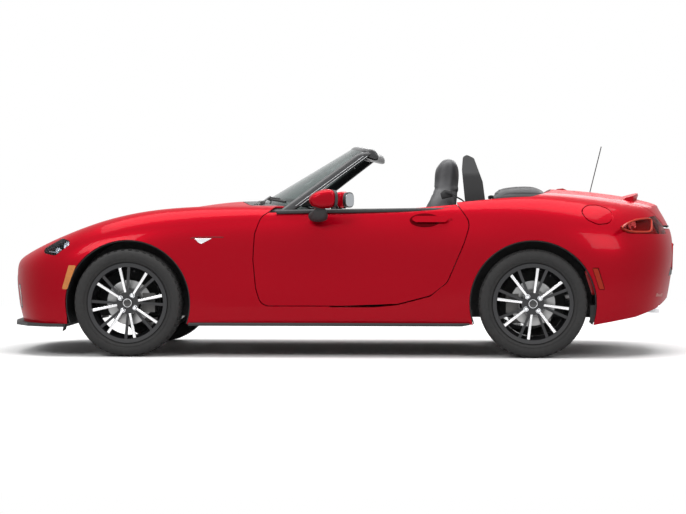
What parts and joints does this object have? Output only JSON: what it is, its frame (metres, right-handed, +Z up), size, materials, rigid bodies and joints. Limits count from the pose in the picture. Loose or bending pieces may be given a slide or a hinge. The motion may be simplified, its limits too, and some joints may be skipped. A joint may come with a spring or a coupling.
{
  "type": "convertible car",
  "caption": "Two-seat open roadster with folded soft top: opening doors, bonnet, boot lid and fuel flap, steered front wheels, free-turning wheels.",
  "frame": {"origin": "on the floor under the middle of the length, in the centre plane", "axes": "+X from nose to tail, +Z up, left side at -Y"},
  "size_m": [3.915, 1.9276, 1.236],
  "materials": {
    "amber_lens": "ribbed amber lens",
    "bare_aluminium": "finned core",
    "black_paint": "satin black",
    "black_plastic": "fine grained",
    "cast_metal": "bare casting, slightly oxidised",
    "clear_glass": "laminated clear glass",
    "clear_lens": "clear lens over lamp units",
    "exhaust_steel": "polished at the tips",
    "floor_carpet": "short pile",
    "hoop_vinyl": "grained covers",
    "red_lens": "ribbed red lens",
    "red_paint": "deep red metallic under clear coat",
    "roof_fabric": "folded canvas",
    "seat_fabric": "woven cloth with stitched channels",
    "steering_leather": "smooth with stitching",
    "tyre_rubber": "moulded tread and sidewall",
    "wheel_metal": "dark paint with machined spoke faces"
  },
  "bodies": {
    "car": {"antenna": "black_plastic", "arch_liners": "black_plastic", "boot_tub": "floor_carpet", "cabin_tub": "floor_carpet", "console": "black_plastic", "cowl": "black_plastic", "dashboard": "black_plastic", "engine": "cast_metal", "exhaust": "exhaust_steel", "fender_left": "red_paint", "fender_right": "red_paint", "front_bumper": "red_paint", "front_frame": "cast_metal", "front_markers": "amber_lens", "front_suspension": "cast_metal", "grille": "black_plastic", "headlamps": "clear_lens", "high_brake_lamp": "red_lens", "hinges": "cast_metal", "radiator": "bare_aluminium", "rear_body": "red_paint", "rear_bumper": "red_paint", "rear_suspension": "cast_metal", "roll_hoops": "hoop_vinyl", "seat_left": "seat_fabric", "seat_right": "seat_fabric", "sills": "red_paint", "soft_top": "roof_fabric", "tail_lamps": "red_lens", "undertray": "black_plastic", "windscreen": "clear_glass", "windscreen_frame": "black_paint"},
    "door_left": {"door_left": "red_paint", "mirror_left": "red_paint", "handle_left": "red_paint"},
    "door_right": {"door_right": "red_paint", "mirror_right": "red_paint", "handle_right": "red_paint"},
    "bonnet": {"bonnet": "red_paint"},
    "boot_lid": {"boot_lid": "red_paint", "boot_lip": "red_paint"},
    "fuel_flap": {"fuel_flap": "red_paint"},
    "steering_wheel": {"steering_wheel": "steering_leather"},
    "knuckle_left": {"knuckle_left": "cast_metal"},
    "knuckle_right": {"knuckle_right": "cast_metal"},
    "wheel_front_left": {"wheel_front_left": "wheel_metal", "tyre_front_left": "tyre_rubber"},
    "wheel_front_right": {"wheel_front_right": "wheel_metal", "tyre_front_right": "tyre_rubber"},
    "wheel_rear_left": {"wheel_rear_left": "wheel_metal", "tyre_rear_left": "tyre_rubber"},
    "wheel_rear_right": {"wheel_rear_right": "wheel_metal", "tyre_rear_right": "tyre_rubber"}
  },
  "joints": [
    {"name": "door_left_hinge", "type": "hinge", "parent": "car", "child": "door_left", "pos_m": [-0.41748, -0.79463, 0.4002], "axis": [0, -0.0625, -0.998], "range_deg": [0, 50]},
    {"name": "door_right_hinge", "type": "hinge", "parent": "car", "child": "door_right", "pos_m": [-0.41748, 0.79463, 0.4002], "axis": [0, -0.0625, 0.998], "range_deg": [0, 50]},
    {"name": "bonnet_hinge", "type": "hinge", "parent": "car", "child": "bonnet", "pos_m": [-0.48678, 0, 0.84491], "axis": [0, 1, 0], "range_deg": [0, 50]},
    {"name": "boot_lid_hinge", "type": "hinge", "parent": "car", "child": "boot_lid", "pos_m": [1.2835, 0, 0.93051], "axis": [0, -1, 0], "range_deg": [0, 62]},
    {"name": "fuel_flap_hinge", "type": "hinge", "parent": "car", "child": "fuel_flap", "pos_m": [1.39679, -0.7536, 0.81902], "axis": [0, -0.6559, -0.7549], "range_deg": [0, 50]},
    {"name": "steer_left", "type": "hinge", "parent": "car", "child": "knuckle_left", "pos_m": [-1.2075, -0.7005, 0.308], "axis": [0, 0, 1], "range_deg": [-32, 32]},
    {"name": "steer_right", "type": "hinge", "parent": "car", "child": "knuckle_right", "pos_m": [-1.2075, 0.7005, 0.308], "axis": [0, 0, 1], "range_deg": [-32, 32]},
    {"name": "steering_wheel_turn", "type": "hinge", "parent": "car", "child": "steering_wheel", "pos_m": [-0.01785, -0.37, 0.783], "axis": [0.9135, 0, 0.4067], "range_deg": [-450, 450]},
    {"name": "spin_front_left", "type": "hinge", "parent": "knuckle_left", "child": "wheel_front_left", "pos_m": [-1.2075, -0.7475, 0.308], "axis": [0, -1, 0], "continuous": true},
    {"name": "spin_front_right", "type": "hinge", "parent": "knuckle_right", "child": "wheel_front_right", "pos_m": [-1.2075, 0.7475, 0.308], "axis": [0, -1, 0], "continuous": true},
    {"name": "spin_rear_left", "type": "hinge", "parent": "car", "child": "wheel_rear_left", "pos_m": [1.1025, -0.7525, 0.308], "axis": [0, -1, 0], "continuous": true},
    {"name": "spin_rear_right", "type": "hinge", "parent": "car", "child": "wheel_rear_right", "pos_m": [1.1025, 0.7525, 0.308], "axis": [0, -1, 0], "continuous": true}
  ],
  "couplings": [
    {"joint": "steer_right", "follows": "steer_left", "ratio": 1},
    {"joint": "steering_wheel_turn", "follows": "steer_left", "ratio": 14}
  ]
}
